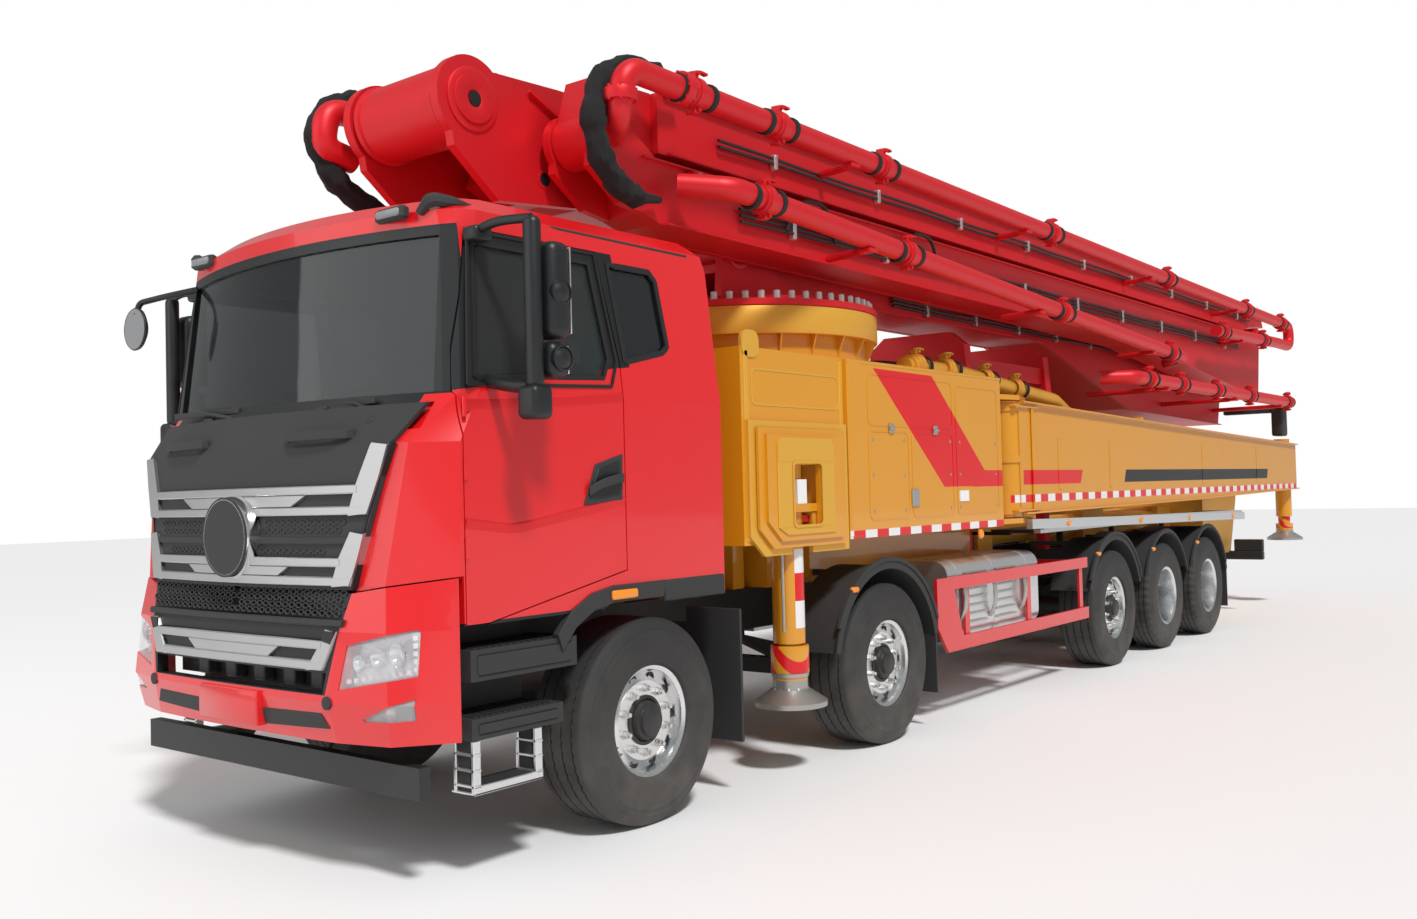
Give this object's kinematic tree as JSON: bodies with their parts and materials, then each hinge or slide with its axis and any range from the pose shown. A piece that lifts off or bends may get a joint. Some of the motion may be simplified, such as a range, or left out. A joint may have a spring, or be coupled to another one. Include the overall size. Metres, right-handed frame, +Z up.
{
  "type": "concrete pump truck",
  "caption": "Truck with a slewing, folding placing boom, hinged doors, steered front axles, telescopic and swing-out outriggers, pump and hopper.",
  "frame": {"origin": "on the ground under the middle of the vehicle's overall box", "axes": "+X forward, +Y to the vehicle's left, +Z up"},
  "size_m": [15.706, 3.23, 4.11],
  "materials": {
    "tyre": "matt black rubber on a polished aluminium rim",
    "chassis_black": "satin black paint",
    "dark_glass": "tinted gloss glass",
    "cab_red": "gloss red paint",
    "black_plastic": "grained black plastic",
    "lamp_lens": "clear lens",
    "boom_red": "gloss red paint",
    "jack_steel": "bare steel with paint wear",
    "bright_aluminium": "bright aluminium",
    "body_yellow": "gloss ochre yellow paint"
  },
  "bodies": {
    "root": {"axles": "chassis_black", "base_pipe": "body_yellow", "boom_rest": "boom_red", "cab_glass": "dark_glass", "cab_interior": "black_plastic", "cab_shell": "cab_red", "cab_steps": "black_plastic", "deck": "bright_aluminium", "engine_block": "chassis_black", "fenders": "black_plastic", "frame": "chassis_black", "front_bumper": "cab_red", "front_lamps": "lamp_lens", "pedestal": "body_yellow", "pump_unit": "body_yellow", "side_cabinets": "body_yellow", "side_guards": "boom_red", "tanks": "bright_aluminium"},
    "wheel_1_left": {"wheel_1_left": "tyre"},
    "knuckle_1_left": {"knuckle_1_left": "chassis_black"},
    "wheel_1_right": {"wheel_1_right": "tyre"},
    "knuckle_1_right": {"knuckle_1_right": "chassis_black"},
    "wheel_2_left": {"wheel_2_left": "tyre"},
    "knuckle_2_left": {"knuckle_2_left": "chassis_black"},
    "wheel_2_right": {"wheel_2_right": "tyre"},
    "knuckle_2_right": {"knuckle_2_right": "chassis_black"},
    "wheel_3_left": {"wheel_3_left": "tyre"},
    "wheel_3_right": {"wheel_3_right": "tyre"},
    "wheel_4_left": {"wheel_4_left": "tyre"},
    "wheel_4_right": {"wheel_4_right": "tyre"},
    "wheel_5_left": {"wheel_5_left": "tyre"},
    "wheel_5_right": {"wheel_5_right": "tyre"},
    "door_left": {"door_left": "cab_red", "door_glass_left": "dark_glass", "mirror_left": "black_plastic"},
    "door_right": {"door_right": "cab_red", "door_glass_right": "dark_glass", "mirror_right": "black_plastic"},
    "front_panel": {"front_panel": "black_plastic"},
    "front_stage_left": {"front_stage_left": "body_yellow"},
    "front_outrigger_left": {"front_outrigger_left": "body_yellow"},
    "front_foot_left": {"front_foot_left": "jack_steel"},
    "rear_outrigger_left": {"rear_outrigger_left": "body_yellow"},
    "rear_foot_left": {"rear_foot_left": "jack_steel"},
    "front_stage_right": {"front_stage_right": "body_yellow"},
    "front_outrigger_right": {"front_outrigger_right": "body_yellow"},
    "front_foot_right": {"front_foot_right": "jack_steel"},
    "rear_outrigger_right": {"rear_outrigger_right": "body_yellow"},
    "rear_foot_right": {"rear_foot_right": "jack_steel"},
    "turret": {"turret": "boom_red"},
    "arm_1": {"arm_1": "boom_red", "pipe_1": "boom_red"},
    "arm_2": {"arm_2": "boom_red", "pipe_2": "boom_red"},
    "arm_3": {"arm_3": "boom_red", "pipe_3": "boom_red"},
    "arm_4": {"arm_4": "boom_red", "pipe_4": "boom_red"},
    "arm_5": {"arm_5": "boom_red", "pipe_5": "boom_red"}
  },
  "joints": [
    {"name": "steer_1_left", "type": "hinge", "parent": "root", "child": "knuckle_1_left", "pos_m": [6.187, 0.93, 0.536], "axis": [0, 0, 1], "range_deg": [-35, 35]},
    {"name": "wheel_1_left_roll", "type": "hinge", "parent": "knuckle_1_left", "child": "wheel_1_left", "pos_m": [6.187, 1.0475, 0.536], "axis": [0, 1, 0], "continuous": true},
    {"name": "steer_1_right", "type": "hinge", "parent": "root", "child": "knuckle_1_right", "pos_m": [6.187, -0.93, 0.536], "axis": [0, 0, 1], "range_deg": [-35, 35]},
    {"name": "wheel_1_right_roll", "type": "hinge", "parent": "knuckle_1_right", "child": "wheel_1_right", "pos_m": [6.187, -1.0475, 0.536], "axis": [0, 1, 0], "continuous": true},
    {"name": "steer_2_left", "type": "hinge", "parent": "root", "child": "knuckle_2_left", "pos_m": [3.767, 0.93, 0.536], "axis": [0, 0, 1], "range_deg": [-25, 25]},
    {"name": "wheel_2_left_roll", "type": "hinge", "parent": "knuckle_2_left", "child": "wheel_2_left", "pos_m": [3.767, 1.0475, 0.536], "axis": [0, 1, 0], "continuous": true},
    {"name": "steer_2_right", "type": "hinge", "parent": "root", "child": "knuckle_2_right", "pos_m": [3.767, -0.93, 0.536], "axis": [0, 0, 1], "range_deg": [-25, 25]},
    {"name": "wheel_2_right_roll", "type": "hinge", "parent": "knuckle_2_right", "child": "wheel_2_right", "pos_m": [3.767, -1.0475, 0.536], "axis": [0, 1, 0], "continuous": true},
    {"name": "wheel_3_left_roll", "type": "hinge", "parent": "root", "child": "wheel_3_left", "pos_m": [-0.423, 1.0475, 0.536], "axis": [0, 1, 0], "continuous": true},
    {"name": "wheel_3_right_roll", "type": "hinge", "parent": "root", "child": "wheel_3_right", "pos_m": [-0.423, -1.0475, 0.536], "axis": [0, 1, 0], "continuous": true},
    {"name": "wheel_4_left_roll", "type": "hinge", "parent": "root", "child": "wheel_4_left", "pos_m": [-1.853, 0.92, 0.536], "axis": [0, 1, 0], "continuous": true},
    {"name": "wheel_4_right_roll", "type": "hinge", "parent": "root", "child": "wheel_4_right", "pos_m": [-1.853, -0.92, 0.536], "axis": [0, 1, 0], "continuous": true},
    {"name": "wheel_5_left_roll", "type": "hinge", "parent": "root", "child": "wheel_5_left", "pos_m": [-3.253, 0.92, 0.536], "axis": [0, 1, 0], "continuous": true},
    {"name": "wheel_5_right_roll", "type": "hinge", "parent": "root", "child": "wheel_5_right", "pos_m": [-3.253, -0.92, 0.536], "axis": [0, 1, 0], "continuous": true},
    {"name": "door_left_hinge", "type": "hinge", "parent": "root", "child": "door_left", "pos_m": [7.429, 1.247, 1.8], "axis": [0, 0, -1], "range_deg": [0, 70]},
    {"name": "door_right_hinge", "type": "hinge", "parent": "root", "child": "door_right", "pos_m": [7.429, -1.247, 1.8], "axis": [0, 0, 1], "range_deg": [0, 70]},
    {"name": "front_panel_hinge", "type": "hinge", "parent": "root", "child": "front_panel", "pos_m": [7.641, 0, 2.153], "axis": [0, -1, 0], "range_deg": [0, 60]},
    {"name": "front_stage_left_slide", "type": "slide", "parent": "root", "child": "front_stage_left", "axis": [0, 1, 0], "range_m": [0, 0.9]},
    {"name": "front_outrigger_left_slide", "type": "slide", "parent": "front_stage_left", "child": "front_outrigger_left", "axis": [0, 1, 0], "range_m": [0, 0.9]},
    {"name": "front_foot_left_slide", "type": "slide", "parent": "front_outrigger_left", "child": "front_foot_left", "axis": [0, 0, -1], "range_m": [0, 0.6]},
    {"name": "rear_outrigger_left_hinge", "type": "hinge", "parent": "root", "child": "rear_outrigger_left", "pos_m": [1.587, 1.08, 1.9], "axis": [0, 0, -1], "range_deg": [0, 75]},
    {"name": "rear_foot_left_slide", "type": "slide", "parent": "rear_outrigger_left", "child": "rear_foot_left", "axis": [0, 0, -1], "range_m": [0, 0.9]},
    {"name": "front_stage_right_slide", "type": "slide", "parent": "root", "child": "front_stage_right", "axis": [0, -1, 0], "range_m": [0, 0.9]},
    {"name": "front_outrigger_right_slide", "type": "slide", "parent": "front_stage_right", "child": "front_outrigger_right", "axis": [0, -1, 0], "range_m": [0, 0.9]},
    {"name": "front_foot_right_slide", "type": "slide", "parent": "front_outrigger_right", "child": "front_foot_right", "axis": [0, 0, -1], "range_m": [0, 0.6]},
    {"name": "rear_outrigger_right_hinge", "type": "hinge", "parent": "root", "child": "rear_outrigger_right", "pos_m": [1.587, -1.08, 1.9], "axis": [0, 0, 1], "range_deg": [0, 75]},
    {"name": "rear_foot_right_slide", "type": "slide", "parent": "rear_outrigger_right", "child": "rear_foot_right", "axis": [0, 0, -1], "range_m": [0, 0.9]},
    {"name": "boom_slew", "type": "hinge", "parent": "root", "child": "turret", "pos_m": [3.687, 0, 2.955], "axis": [0, 0, 1], "range_deg": [-180, 180]},
    {"name": "arm_1_lift", "type": "hinge", "parent": "turret", "child": "arm_1", "pos_m": [4.187, 0, 3.39], "axis": [0, 1, 0], "range_deg": [0, 85]},
    {"name": "arm_2_lift", "type": "hinge", "parent": "arm_1", "child": "arm_2", "pos_m": [-7.653, 0, 3.4], "axis": [0, -1, 0], "range_deg": [0, 180]},
    {"name": "arm_3_lift", "type": "hinge", "parent": "arm_2", "child": "arm_3", "pos_m": [6.617, 0, 3.87], "axis": [0, 1, 0], "range_deg": [0, 180]},
    {"name": "arm_4_lift", "type": "hinge", "parent": "arm_3", "child": "arm_4", "pos_m": [-7.293, 0.635, 3.69], "axis": [0, -1, 0], "range_deg": [0, 180]},
    {"name": "arm_5_lift", "type": "hinge", "parent": "arm_4", "child": "arm_5", "pos_m": [5.987, 0.635, 3.72], "axis": [0, 1, 0], "range_deg": [0, 180]}
  ],
  "couplings": [
    {"joint": "steer_1_right", "follows": "steer_1_left", "ratio": 1},
    {"joint": "steer_2_left", "follows": "steer_1_left", "ratio": 0.71429},
    {"joint": "steer_2_right", "follows": "steer_1_left", "ratio": 0.71429},
    {"joint": "front_outrigger_left_slide", "follows": "front_stage_left_slide", "ratio": 1},
    {"joint": "front_outrigger_right_slide", "follows": "front_stage_right_slide", "ratio": 1},
    {"joint": "arm_2_lift", "follows": "arm_1_lift", "ratio": 2.1176}
  ]
}
